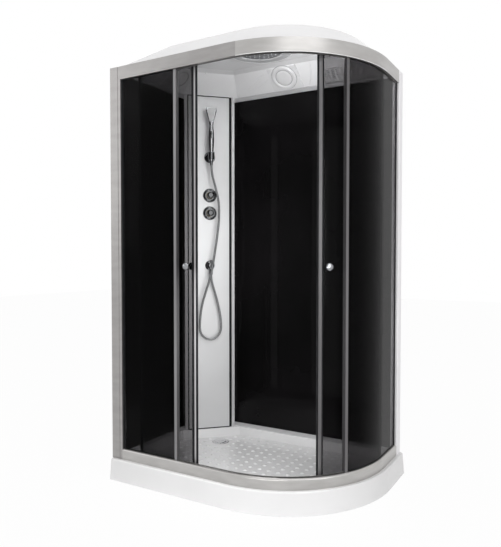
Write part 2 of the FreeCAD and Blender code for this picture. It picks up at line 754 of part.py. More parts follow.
def make_walls():
    foot = S.tray_height
    top = S.frame_top
    deep = S.wall_profile_height
    back_low = LEFT + S.wall_glass_end
    back_high = RIGHT - S.rail_inset - S.rail_depth - 4
    left_low = RAIL_FRONT + S.rail_depth + 2
    left_high = BACK - S.wall_glass_end
    y_far = BACK - S.wall_glass_line
    x_far = LEFT + S.wall_glass_line
    block("back_wall_glass", (back_low, y_far - S.glass, foot + 6), (back_high, y_far, top - 6))
    block("left_wall_glass", (x_far, left_low, foot + 6), (x_far + S.glass, left_high, top - 6))
    profiles = []
    near = S.wall_profile_line
    far = S.wall_profile_line + S.wall_profile_depth
    slot = S.wall_glass_line
    for level, base, sign in (("bottom", foot, 1), ("top", top, -1)):
        section = [
            (near, 0), (far, 0), (far, deep), (slot + S.glass, deep), (slot + S.glass, 6),
            (slot, 6), (slot, deep), (near, deep)]
        back = new_body(f"back_{level}_profile")
        sketch = sketch_in(back, "YZ_Plane", "section", back_low)
        draw_loop(sketch, [(BACK - d, base + sign * h) for d, h in section])
        pad(back, sketch, back_high - back_low)
        left = new_body(f"left_{level}_profile")
        sketch = sketch_in(left, "XZ_Plane", "section", -left_low)
        draw_loop(sketch, [(LEFT + d, base + sign * h) for d, h in section])
        pad(left, sketch, left_high - left_low, back=True)
        profiles += [back, left]
    as_group("wall_profiles", profiles)


def make_column():
    frame = column_frame()
    deep = S.column_return
    low = S.column_low
    high = S.column_high
    foot = S.tray_height + 5
    top = S.frame_top - 5
    inner_low = low + S.column_sheet
    inner_high = high - S.column_sheet
    panel = upright("column_panel", [
        (low, 0), (high, 0), (high, deep), (inner_high, deep), (inner_high, S.column_sheet),
        (inner_low, S.column_sheet), (inner_low, deep), (low, deep)], foot, top, frame)
    holes = []
    for height, radius in ((S.diverter_height, 20), (S.mixer_height, 20),
                           (S.outlet_height, 11), (S.holder_height, 5)):
        holes.append((facing(frame, S.column_centre, 8, height), radius, 12))
    drilled("column_panel", panel, holes)
    seals = []
    for name, start, finish in (("foot", S.tray_height, foot), ("top", top, S.frame_top)):
        seals.append(block(f"column_{name}_seal", (low, -1, start), (high, deep, finish), frame))
    posts = []
    for name, edge_low, edge_high, seal_low, seal_high in (
            ("left", S.column_edge_low, S.column_edge_low + S.column_edge_width,
             S.column_edge_low + S.column_edge_width, low),
            ("right", S.column_edge_high - S.column_edge_width, S.column_edge_high,
             high, S.column_edge_high - S.column_edge_width)):
        posts.append(upright(f"column_{name}_edge", [
            (edge_low, -3), (edge_high, -3), (edge_high, 14), (edge_low, 14)],
            S.tray_height, S.frame_top, frame))
        seals.append(upright(f"column_{name}_seal", [
            (seal_low, 4), (seal_high, 4), (seal_high, 12), (seal_low, 12)],
            S.tray_height, S.frame_top, frame))
    as_group("column_seals", seals)
    as_group("column_edges", posts)


# ---------------------------------------------------------------- water fittings

def make_valve():
    frame = column_frame()
    x = S.column_centre
    body = new_body("valve_body")
    side = sketch_in(body, "XZ_Plane", "side", -26)
    low = S.mixer_height - 26
    high = S.diverter_height + 26
    draw_loop(side, [
        (x - 37, low), (x + 37, low), (x + 37, S.mixer_height + 24), (x + 15, S.mixer_height + 36),
        (x + 15, S.diverter_height - 30), (x + 24, S.diverter_height - 22), (x + 24, high),
        (x - 24, high), (x - 24, S.diverter_height - 22), (x - 15, S.diverter_height - 30),
        (x - 15, S.mixer_height + 36), (x - 37, S.mixer_height + 24)])
    pad(body, side, 36, back=True, name="casting")
    for name, height in (("mixer", S.mixer_height), ("diverter", S.diverter_height)):
        boss = sketch_in(body, "XZ_Plane", f"{name}_boss", -26)
        draw_circle(boss, x, height, 18)
        pad(body, boss, 22, name=f"{name}_cartridge")
        stem = sketch_in(body, "XZ_Plane", f"{name}_stem", -4)
        draw_circle(stem, x, height, 5)
        pad(body, stem, 22, name=f"{name}_spindle")
    for name, step in (("cold", -24), ("hot", 24)):
        inlet = sketch_in(body, "XZ_Plane", f"{name}_inlet", -62)
        draw_circle(inlet, x + step, S.mixer_height, 10.48)
        pad(body, inlet, 20, back=True, name=f"{name}_tail")
    outlet = sketch_in(body, "XY_Plane", "rain_outlet", high)
    draw_circle(outlet, x, 44, 8)
    pad(body, outlet, 24, name="rain_nipple")
    body.Placement = frame
    lower = S.outlet_height + 18
    pipe = new_body("outlet_pipe")
    ring = sketch_in(pipe, "XY_Plane", "ring", lower)
    draw_circle(ring, x, 44, 6)
    draw_circle(ring, x, 44, 5)
    pad(pipe, ring, low - lower)
    pipe.Placement = frame


def make_knobs():
    frame = column_frame()
    roses = []
    for name, height in (("mixer", S.mixer_height), ("diverter", S.diverter_height)):
        spot = facing(frame, S.column_centre, 0, height)
        roses.append(turned(f"{name}_rose", [
            (22, 0), (38, 0), (38, 3), (35, 7), (27, 10), (22, 10)], spot))
        turned(f"{name}_knob", [
            (5.05, 11), (18, 11), (18.5, 24), (16.5, 32), (11, 36), (0, 36), (0, 18.5),
            (5.05, 18.5)], spot)
    as_group("knob_roses", roses)


HOSE_END_REACH = 30


def make_hose_outlet():
    """Wall elbow: rose, body and downward spigot, with its back nut behind the panel."""
    frame = column_frame()
    spot = facing(frame, S.column_centre, 0, S.outlet_height)
    elbow = new_body("outlet_elbow")
    sketch = sketch_in(elbow, "XZ_Plane", "profile")
    draw_loop(sketch, [
        (0, -56), (10, -56), (10, 0), (27, 0), (27, 3), (23, 7), (13, 12), (13, 39),
        (11, 41), (0, 41)])
    revolve(elbow, sketch)
    spigot = sketch_in(elbow, "XZ_Plane", "spigot")
    draw_circle(spigot, 0, HOSE_END_REACH, 8)
    pad(elbow, spigot, 30, back=True, name="spigot")
    nipple = sketch_in(elbow, "XZ_Plane", "nipple")
    draw_circle(nipple, 0, -44, 8)
    pad(elbow, nipple, 18, name="nipple")
    elbow.Placement = spot
    nodes.remove(elbow)
    nut = turned("outlet_back_nut", [(10, -15), (17, -15), (17, -6), (10, -6)], spot)
    nodes.remove(nut)
    group = keep(doc.addObject("Part::Compound", "hose_outlet"), "hose_outlet")
    group.Links = [elbow, nut]


# Route of the hose on the column: along the panel, out from it, height.
HOSE_ROUTE = [
    (157, 48, 1580), (157, 48, 1524), (178, 50, 1450), (198, 51, 1366), (200, 49, 1272),
    (190, 50, 1180), (175, 56, 1092), (160, 62, 1008), (143, 60, 932), (121, 52, 862),
    (103, 43, 792), (94, 36, 720), (93, 32, 643), (130, 30, 603), (176, 30, 603),
    (214, 30, 643), (213, 30, 712), (200, 30, 785), (181, 30, 858), (157, 30, 934),
    (157, 30, 984)]


def hose_path(points):
    """Straight runs joined by arcs that take 0.45 of the shorter run at each corner."""
    edges = []
    radii = []
    start = points[0]
    for before, corner, after in zip(points, points[1:], points[2:]):
        come = corner - before
        leave = after - corner
        reach = 0.45 * min(come.Length, leave.Length)
        half = come.getAngle(leave) / 2
        radii.append(reach / math.tan(half))
        first = corner - come.normalize() * reach
        last = corner + leave.normalize() * reach
        middle = (first + last) / 2
        inward = middle - corner
        sagitta = radii[-1] * (1 - math.cos(half))
        crown = middle - inward.normalize() * sagitta
        edges.append(Part.LineSegment(start, first).toShape())
        edges.append(Part.Arc(first, crown, last).toShape())
        start = last
    edges.append(Part.LineSegment(start, points[-1]).toShape())
    return Part.Wire(edges), radii


def make_hose():
    points = [FreeCAD.Vector(along, -out, height) for along, out, height in HOSE_ROUTE]
    path, radii = hose_path(points)
    start = (points[1] - points[0]).normalize()
    radius = num(S.hose_diameter) / 2
    ring = Part.Wire([Part.Circle(points[0], start, radius).toShape()])
    tube = path.makePipeShell([ring], True, False)
    ideal = math.pi * radius ** 2 * path.Length
    print("hose length", round(path.Length, 1), "volume ratio", round(tube.Volume / ideal, 4))
    print("hose radii", [round(value) for value in radii])
    hose = keep(doc.addObject("Part::Feature", "shower_hose"), "shower_hose")
    hose.Shape = tube
    hose.Placement = column_frame()
    turned("hose_nut", [
        (6.1, 962), (7.5, 962), (10, 968), (10, 990), (9, 994), (8, 994), (8, 984),
        (6.1, 984)], column_frame().multiply(at(S.column_centre, -HOSE_END_REACH)))


def make_holder():
    """Domed rose with a short arm and a cup tapered to the handset's handle."""
    frame = column_frame()
    spot = facing(frame, S.column_centre, 0, S.holder_height)
    rose = turned("holder_rose", [
        (0, -14), (4.9, -14), (4.9, 0), (31, 0), (30, 5), (22, 15), (13, 24), (9, 35), (0, 35)],
        spot)
    cup = turned("holder_cup", [
        (9.35, -20), (16, -20), (18, -17), (18, 20), (11.6, 20)],
        frame.multiply(at(S.column_centre, -S.handset_reach, S.holder_height)))
    for item in (rose, cup):
        nodes.remove(item)
    holder = keep(doc.addObject("Part::MultiFuse", "handset_holder"), "handset_holder")
    holder.Shapes = [rose, cup]


HANDSET_SECTIONS = (
    # height, half width, half depth
    (1588, 9, 9), (1632, 11.5, 11.5), (1665, 14.5, 14), (1705, 16, 15), (1745, 14.5, 13.5),
    (1778, 10.8, 10), (1797, 12.8, 9), (1830, 22, 9), (1860, 30.5, 9.5), (1874, 29, 8.5))


def make_handset():
    spot = column_frame().multiply(at(S.column_centre, -S.handset_reach))
    body = new_body("handset_body")
    sketches = []
    for i, (height, wide, deep) in enumerate(HANDSET_SECTIONS):
        sketch = sketch_in(body, "XY_Plane", f"section_{i}", height)
        ring = Part.Ellipse(FreeCAD.Vector(0, 0, 0), wide + 0.01, deep)
        sketch.addGeometry(ring)
        sketches.append(sketch)
    shell = body.newObject("PartDesign::AdditiveLoft", "handset_loft")
    shell.Profile = sketches[0]
    shell.Sections = sketches[1:]
    shell.Ruled = True
    front = sketch_in(body, "XZ_Plane", "front_cut", 5)
    draw_loop(front, [(-32, 1796), (32, 1796), (32, 1880), (-32, 1880)])
    pocket(body, front, 12, back=True, name="face_flat")
    body.Placement = spot
    face = new_body("handset_face")
    outline = sketch_in(face, "XZ_Plane", "outline", 5)
    draw_loop(outline, [(-9, 1801), (9, 1801), (25, 1862, 12), (18, 1870, 60), (-18, 1870, 12),
                        (-25, 1862)])
    pad(face, outline, 3)
    jets = sketch_in(face, "XZ_Plane", "jets", 8)
    for row, count in enumerate((2, 3, 4, 5)):
        for i in range(count):
            x = (i - (count - 1) / 2) * 7
            z = 1815 + row * 13
            draw_loop(jets, [(x - 1.5, z - 1.5), (x + 1.5, z - 1.5), (x + 1.5, z + 1.5),
                             (x - 1.5, z + 1.5)])
    pad(face, jets, 1.5, name="jets")
    face.Placement = spot
    turned("hose_cone", [
        (6.1, 1562), (7.5, 1562), (8.8, 1588), (0, 1588), (0, 1580), (6.1, 1580)], spot)


# ---------------------------------------------------------------- roof

COVE_SLOPE = math.degrees(math.atan2(num(S.shoulder_height) - num(S.frame_top) - 4, num(S.cove_run)))


def roof_sections(offset, drop):
    """Cove, shoulder and crown outlines; offset moves them in and drop lowers them."""
    start = S.cove_start + offset
    shoulder = start + S.cove_run
    crown = shoulder + 40
    line = S.column_line + offset * 1.4
    return [
        (S.frame_top + S.roof_skin - drop, cabin_outline(start, start, 34, 34, line)),
        (S.shoulder_height - drop, cabin_outline(
            shoulder, shoulder, 150, 90, line + 1.414 * S.cove_run)),
        (S.roof_height - drop, cabin_outline(crown, crown, 160, 100, line + 1.414 * S.cove_run + 56)),
    ]


def make_roof():
    body = new_body("roof_shell")
    flange = sketch_in(body, "XY_Plane", "flange", S.frame_top)
    draw_loop(flange, cabin_outline(37, 14, 20, 20, S.column_line - 24))
    pad(body, flange, S.roof_skin, name="flange")
    loft(body, roof_sections(0, 0), name="dome")
    loft(body, roof_sections(S.roof_skin, S.roof_skin), "SubtractiveLoft", "inside")


def cove_frame(x, along=0):
    """Frame on the back cove's inner face: X to the right, Y up the slope, Z into the cabin."""
    foot = FreeCAD.Vector(num(x), num(BACK - S.cove_start - S.roof_skin), num(S.frame_top))
    tilt = FreeCAD.Rotation(X_AXIS, 180 - COVE_SLOPE)
    return FreeCAD.Placement(foot, tilt).multiply(
        FreeCAD.Placement(FreeCAD.Vector(0, along, 0), FreeCAD.Rotation()))


def left_cove_frame(y, along=0):
    """The same frame on the left wall's cove."""
    foot = FreeCAD.Vector(num(LEFT + S.cove_start + S.roof_skin), num(y), num(S.frame_top))
    tilt = FreeCAD.Rotation(Z_AXIS, 90).multiply(FreeCAD.Rotation(X_AXIS, 180 - COVE_SLOPE))
    return FreeCAD.Placement(foot, tilt).multiply(
        FreeCAD.Placement(FreeCAD.Vector(0, along, 0), FreeCAD.Rotation()))


def make_cove_discs():
    """Round unit on a raised square, on the back cove and on the left one."""
    for name, frame, foot, head in (
            ("back", cove_frame(-16, 77), 86, 82), ("left", left_cove_frame(36, 77), 86, 47)):
        base = upright(f"{name}_disc_base", [
            (-86, -74), (foot, -74), (head, 60), (-82, 60)], Size(0.2, "0.2"), Size(6, "6"), frame)
        ring = turned(f"{name}_disc_ring", [
            (44, 6), (68, 6), (67, 11), (61, 15), (51, 14), (44, 10)], frame)
        lens = turned(f"{name}_disc_lens", [(0, 6), (43.5, 6), (43.5, 9), (34, 12), (0, 13)], frame)
        as_group(f"{name}_cove_disc", [base, ring, lens])


VENT_COLUMNS = 6
VENT_ROWS = 7
VENT_PITCH = 19.5


def make_vent():
    body = new_body("vent_grille")
    plate = sketch_in(body, "XY_Plane", "plate", 0.2)
    draw_loop(plate, [(-65, -38), (65, -38), (65, 38), (-65, 38)])
    pad(body, plate, 4)
    slots = sketch_in(body, "XY_Plane", "slots", 0.2)
    run = VENT_PITCH * (VENT_COLUMNS - 1)
    for row in range(VENT_ROWS):
        y = 9.5 * (row - (VENT_ROWS - 1) / 2)
        draw_loop(slots, [(-run / 2 - 7, y - 2), (-run / 2 + 7, y - 2), (-run / 2 + 7, y + 2),
                          (-run / 2 - 7, y + 2)])
    column = pocket(body, slots, 4, back=True)
    repeat_along(body, column, slots, run, VENT_COLUMNS)
    body.Placement = cove_frame(240, 43)


NOZZLE_RINGS = ((6, 22), (12, 44), (18, 66), (24, 90))


def nozzle_hole(radius):
    """Six-sided nozzle opening on the plate's X axis."""
    corners = []
    for step in range(6):
        angle = math.pi * step / 3
        corners.append((radius + 3.2 * math.cos(angle), 3.2 * math.sin(angle)))
    return corners


def make_rain_head():
    ceiling = num(S.roof_height - S.roof_skin)
    spot = at(S.rain_x, S.rain_y)
    rim = num(S.rain_radius)
    turned("rain_ring", [
        (112, ceiling - 0.2), (112, ceiling - 8), (118, ceiling - 12), (rim - 16, ceiling - 14),
        (rim - 3, ceiling - 9), (rim, ceiling - 0.2)], spot)
    body = new_body("rain_plate")
    disc = sketch_in(body, "XY_Plane", "disc", ceiling - 9)
    draw_circle(disc, 0, 0, 111)
    pad(body, disc, 3)
    for count, radius in NOZZLE_RINGS:
        sketch = sketch_in(body, "XY_Plane", f"nozzle_{count}", ceiling - 9)
        draw_loop(sketch, nozzle_hole(radius))
        nozzle = pocket(body, sketch, 3, back=True, name=f"nozzle_{count}")
        repeat_round(body, nozzle, count)
    body.Placement = spot
    hole = at(S.rain_x, S.rain_y, ceiling - 5)
    drilled("roof_shell", doc.getObject("roof_shell"), [(hole, 8.2, 20)])


def make_rain_pipe():
    """Rigid pipe from the valve up behind the column, over the roof and down into it."""
    ceiling = num(S.roof_height - S.roof_skin)
    low = num(S.diverter_height) + 50
    level = num(S.roof_height) + 11
    foot = column_frame().multVec(FreeCAD.Vector(num(S.column_centre), 44, low))
    end = FreeCAD.Vector(num(S.rain_x), num(S.rain_y), ceiling - 6)
    over = FreeCAD.Vector(end.x - foot.x, end.y - foot.y, 0).normalize()
    first = 40
    last = 15
    a = FreeCAD.Vector(foot.x, foot.y, level - first)
    b = FreeCAD.Vector(foot.x, foot.y, level) + over * first
    c = FreeCAD.Vector(end.x, end.y, level) - over * last
    d = FreeCAD.Vector(end.x, end.y, level - last)
    lean = math.sqrt(0.5)
    crown_a = FreeCAD.Vector(a.x, a.y, a.z + first * lean) + over * first * (1 - lean)
    crown_b = FreeCAD.Vector(c.x, c.y, d.z + last * lean) + over * last * lean
    path = Part.Wire([
        Part.LineSegment(foot, a).toShape(), Part.Arc(a, crown_a, b).toShape(),
        Part.LineSegment(b, c).toShape(), Part.Arc(c, crown_b, d).toShape(),
        Part.LineSegment(d, end).toShape()])
    ring = Part.Wire([Part.Circle(foot, Z_AXIS, 7).toShape()])
    pipe = keep(doc.addObject("Part::Feature", "rain_pipe"), "rain_pipe")
    pipe.Shape = path.makePipeShell([ring], True, False)


# ---------------------------------------------------------------- build and write

def build():
    make_tray()
    make_tray_frame()
    make_tray_feet()
    make_waste()
    make_bottom_rail()
    make_top_rails()
    make_posts()
    make_fixed_panes()
    make_jamb_gaskets()
    for side, sign in SIDES.items():
        make_door_glass(side)
        make_door_edges(side, sign)
        make_handle(side)
        make_rollers(side)
    make_door_stops()
    make_walls()
    make_column()
    make_valve()
    make_knobs()
    make_hose_outlet()
    make_hose()
    make_holder()
    make_handset()
    make_roof()
    make_cove_discs()
    make_vent()
    make_rain_head()
    make_rain_pipe()


def check_and_write():
    doc.recompute()
    for item in doc.Objects:
        if "Invalid" in item.State or "Error" in item.State:
            raise RuntimeError(f"{item.Label} failed to build: {item.State}")
    for item in nodes:
        if item.Shape.isNull() or not item.Shape.isValid():
            raise RuntimeError(f"{item.Label} has no valid shape")
    os.makedirs("parts", exist_ok=True)
    for item in nodes:
        item.Shape.exportStep(f"parts/{item.Label}.step")
    print(len(nodes), "nodes written")


build()
check_and_write()
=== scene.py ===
"""Looks of the shower cabin: materials, small forms, light and camera round the fixed frame."""

import json
import math

import bmesh
import bpy
from mathutils import Matrix, Vector


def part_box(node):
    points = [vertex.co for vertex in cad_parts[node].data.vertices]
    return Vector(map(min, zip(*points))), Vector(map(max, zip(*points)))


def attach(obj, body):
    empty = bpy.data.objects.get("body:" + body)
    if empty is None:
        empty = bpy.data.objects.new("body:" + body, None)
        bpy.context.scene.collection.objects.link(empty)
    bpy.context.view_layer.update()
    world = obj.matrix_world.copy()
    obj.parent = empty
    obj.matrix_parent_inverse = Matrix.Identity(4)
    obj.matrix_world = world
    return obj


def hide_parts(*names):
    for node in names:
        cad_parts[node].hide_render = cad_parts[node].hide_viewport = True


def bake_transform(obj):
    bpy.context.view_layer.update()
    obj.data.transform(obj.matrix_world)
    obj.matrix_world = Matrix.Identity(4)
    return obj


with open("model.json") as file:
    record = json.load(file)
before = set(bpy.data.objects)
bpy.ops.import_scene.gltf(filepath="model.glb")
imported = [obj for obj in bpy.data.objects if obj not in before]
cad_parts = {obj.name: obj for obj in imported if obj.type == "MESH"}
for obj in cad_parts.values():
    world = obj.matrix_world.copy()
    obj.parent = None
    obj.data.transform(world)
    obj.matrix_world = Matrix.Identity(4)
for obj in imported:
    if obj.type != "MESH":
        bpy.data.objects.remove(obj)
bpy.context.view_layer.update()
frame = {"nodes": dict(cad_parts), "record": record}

# ---------------------------------------------------------------- places taken from the frame

TRAY_LOW, TRAY_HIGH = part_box("shower_tray")
ARC_CENTRE = Vector((0.050, 0.150, 0))
FLANGE_PROUD = 0.0015
BASIN_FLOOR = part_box("drain_flange")[1].z - FLANGE_PROUD
SLANT = Matrix.Translation((-0.565, 0.135, 0)) @ Matrix.Rotation(math.radians(45), 4, "Z")


def on_column(along, out, height):
    """Row-frame point at a place on the column's face, out metres into the cabin."""
    return SLANT @ Vector((along, -out, height))


# ---------------------------------------------------------------- camera and cord

CAMERA_PLACE = (1.348, -2.401, 1.063)
CAMERA_TURN = (88.31, 0, 30.19)
CAMERA_LENS = 37.69
CAMERA_SENSOR = 36
CAMERA_CLIP = (0.05, 60)


def link(item):
    bpy.context.scene.collection.objects.link(item)


def make_camera():
    data = bpy.data.cameras.new("camera")
    camera = bpy.data.objects.new("camera", data)
    link(camera)
    camera.location = CAMERA_PLACE
    camera.rotation_euler = [math.radians(angle) for angle in CAMERA_TURN]
    data.lens = CAMERA_LENS
    data.sensor_width = CAMERA_SENSOR
    data.clip_start, data.clip_end = CAMERA_CLIP
    bpy.context.scene.camera = camera


make_camera()

HOSE_DIAMETER = 0.012
HOSE_ROUTE = [
    (0.157, 0.048, 1.580), (0.157, 0.048, 1.524), (0.178, 0.050, 1.450), (0.198, 0.051, 1.366),
    (0.200, 0.049, 1.272), (0.190, 0.050, 1.180), (0.175, 0.056, 1.092), (0.160, 0.062, 1.008),
    (0.143, 0.060, 0.932), (0.121, 0.052, 0.862), (0.103, 0.043, 0.792), (0.094, 0.036, 0.720),
    (0.093, 0.032, 0.643), (0.130, 0.030, 0.603), (0.176, 0.030, 0.603), (0.214, 0.030, 0.643),
    (0.213, 0.030, 0.712), (0.200, 0.030, 0.785), (0.181, 0.030, 0.858), (0.157, 0.030, 0.934),
    (0.157, 0.030, 0.984)]


def curve_mesh(item):
    """The mesh that a curve object makes now."""
    depsgraph = bpy.context.evaluated_depsgraph_get()
    return bpy.data.meshes.new_from_object(item.evaluated_get(depsgraph))


def make_route(name, places, resolution):
    """A smooth curve object near the given points, through the first and the last."""
    curve = bpy.data.curves.new(name, "CURVE")
    curve.dimensions = "3D"
    curve.resolution_u = resolution
    spline = curve.splines.new("NURBS")
    spline.points.add(len(places) - 1)
    for point, place in zip(spline.points, places):
        point.co = (*place, 1)
    spline.order_u = 3
    spline.use_endpoint_u = True
    route = bpy.data.objects.new(name, curve)
    link(route)
    return curve, route


def make_hose():
    places = [on_column(*place) for place in HOSE_ROUTE]
    curve, route = make_route("hose_route", places, 12)
    line = curve_mesh(route)
    curve.bevel_depth = HOSE_DIAMETER / 2
    curve.bevel_resolution = 5
    curve.use_fill_caps = True
    tube = curve_mesh(route)
    bpy.data.objects.remove(route)
    piece = bpy.data.objects.new("hose", tube)
    link(piece)
    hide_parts("shower_hose")
    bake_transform(piece)
    return piece


hose = make_hose()


# ---------------------------------------------------------------- materials

# Both are below real glass, so that the panes and walls keep the photo's faint gloss.
PANE_IOR = 1.09
WALL_IOR = 1.25


def new_material(name):
    made = bpy.data.materials.new(name)
    made.use_nodes = True
    nodes = made.node_tree.nodes
    nodes.clear()
    out = nodes.new("ShaderNodeOutputMaterial")
    shader = nodes.new("ShaderNodeBsdfPrincipled")
    made.node_tree.links.new(shader.outputs["BSDF"], out.inputs["Surface"])
    return made, nodes, made.node_tree.links, shader


def placed_noise(nodes, links, scale, stretch=(1, 1, 1), detail=4.0):
    """Noise on object coordinates; stretch above 1 tightens it along that axis."""
    coordinates = nodes.new("ShaderNodeTexCoord")
    mapping = nodes.new("ShaderNodeMapping")
    mapping.inputs["Scale"].default_value = stretch
    noise = nodes.new("ShaderNodeTexNoise")
    noise.inputs["Scale"].default_value = scale
    noise.inputs["Detail"].default_value = detail
    links.new(coordinates.outputs["Object"], mapping.inputs["Vector"])
    links.new(mapping.outputs["Vector"], noise.inputs["Vector"])
    return noise


def mix_into(nodes, links, factor, first, second):
    """Sends a mix of two shaders to the output; the factor is a number or a socket."""
    mix = nodes.new("ShaderNodeMixShader")
    if isinstance(factor, float):
        mix.inputs["Fac"].default_value = factor
    else:
        links.new(factor, mix.inputs["Fac"])
    links.new(first, mix.inputs[1])
    links.new(second, mix.inputs[2])
    out = next(node for node in nodes if node.type.startswith("OUTPUT_"))
    links.new(mix.outputs["Shader"], out.inputs["Surface"])


def vary(nodes, links, factor, low, high, socket):
    """Sends a number between low and high to a socket, by the factor."""
    spread = nodes.new("ShaderNodeMapRange")
    spread.inputs["To Min"].default_value = low
    spread.inputs["To Max"].default_value = high
    links.new(factor, spread.inputs["Value"])
    links.new(spread.outputs["Result"], socket)


def tint(nodes, links, factor, dark, light, socket, low=0.35, high=0.65):
    """Sends a colour between dark and light to a socket, by the factor."""
    ramp = nodes.new("ShaderNodeValToRGB")
    ramp.color_ramp.elements[0].position = low
    ramp.color_ramp.elements[0].color = (*dark, 1)
    ramp.color_ramp.elements[1].position = high
    ramp.color_ramp.elements[1].color = (*light, 1)
    links.new(factor, ramp.inputs["Fac"])
    links.new(ramp.outputs["Color"], socket)


def bump(nodes, links, height, strength, distance, shader):
    relief = nodes.new("ShaderNodeBump")
    relief.inputs["Strength"].default_value = strength
    relief.inputs["Distance"].default_value = distance
    links.new(height, relief.inputs["Height"])
    links.new(relief.outputs["Normal"], shader.inputs["Normal"])


def coated(name, dark, light, rough, scale=6, stretch=(1, 1, 1), metal=0.0, coat=0.0,
           grain=0.0, detail=4.0, specular=0.5, rim=1.0):
    """General finish: colour and gloss drift a little over the surface."""
    made, nodes, links, shader = new_material(name)
    noise = placed_noise(nodes, links, scale, stretch, detail)
    tint(nodes, links, noise.outputs["Fac"], dark, light, shader.inputs["Base Color"])
    vary(nodes, links, noise.outputs["Fac"], rough[0], rough[1], shader.inputs["Roughness"])
    shader.inputs["Metallic"].default_value = metal
    shader.inputs["Specular IOR Level"].default_value = specular
    shader.inputs["Specular Tint"].default_value = (rim, rim, rim, 1)
    shader.inputs["Coat Weight"].default_value = coat
    shader.inputs["Coat Roughness"].default_value = 0.08
    if grain:
        fine = placed_noise(nodes, links, scale * 30, stretch, 2.0)
        bump(nodes, links, fine.outputs["Fac"], grain, 0.0004, shader)
    return made


def glass_material(name, dark, light):
    """Tinted pane; light rays pass it as through a grey film."""
    made, nodes, links, shader = new_material(name)
    noise = placed_noise(nodes, links, 1.5)
    tint(nodes, links, noise.outputs["Fac"], dark, light, shader.inputs["Base Color"])
    vary(nodes, links, noise.outputs["Fac"], 0.0, 0.004, shader.inputs["Roughness"])
    shader.inputs["IOR"].default_value = PANE_IOR
    shader.inputs["Transmission Weight"].default_value = 1.0
    film = nodes.new("ShaderNodeBsdfTransparent")
    film.inputs["Color"].default_value = (*[math.sqrt(value) for value in light], 1)
    path = nodes.new("ShaderNodeLightPath")
    mix_into(nodes, links, path.outputs["Is Shadow Ray"], shader.outputs["BSDF"],
             film.outputs["BSDF"])
    return made


def sheer_material(name, dark, light, share):
    """Milky profile: part satin surface, part see-through."""
    made = coated(name, dark, light, (0.28, 0.36), scale=12, stretch=(1, 1, 0.1), metal=0.35)
    nodes = made.node_tree.nodes
    film = nodes.new("ShaderNodeBsdfTransparent")
    mix_into(nodes, made.node_tree.links, share, nodes["Principled BSDF"].outputs["BSDF"],
             film.outputs["BSDF"])
    return made


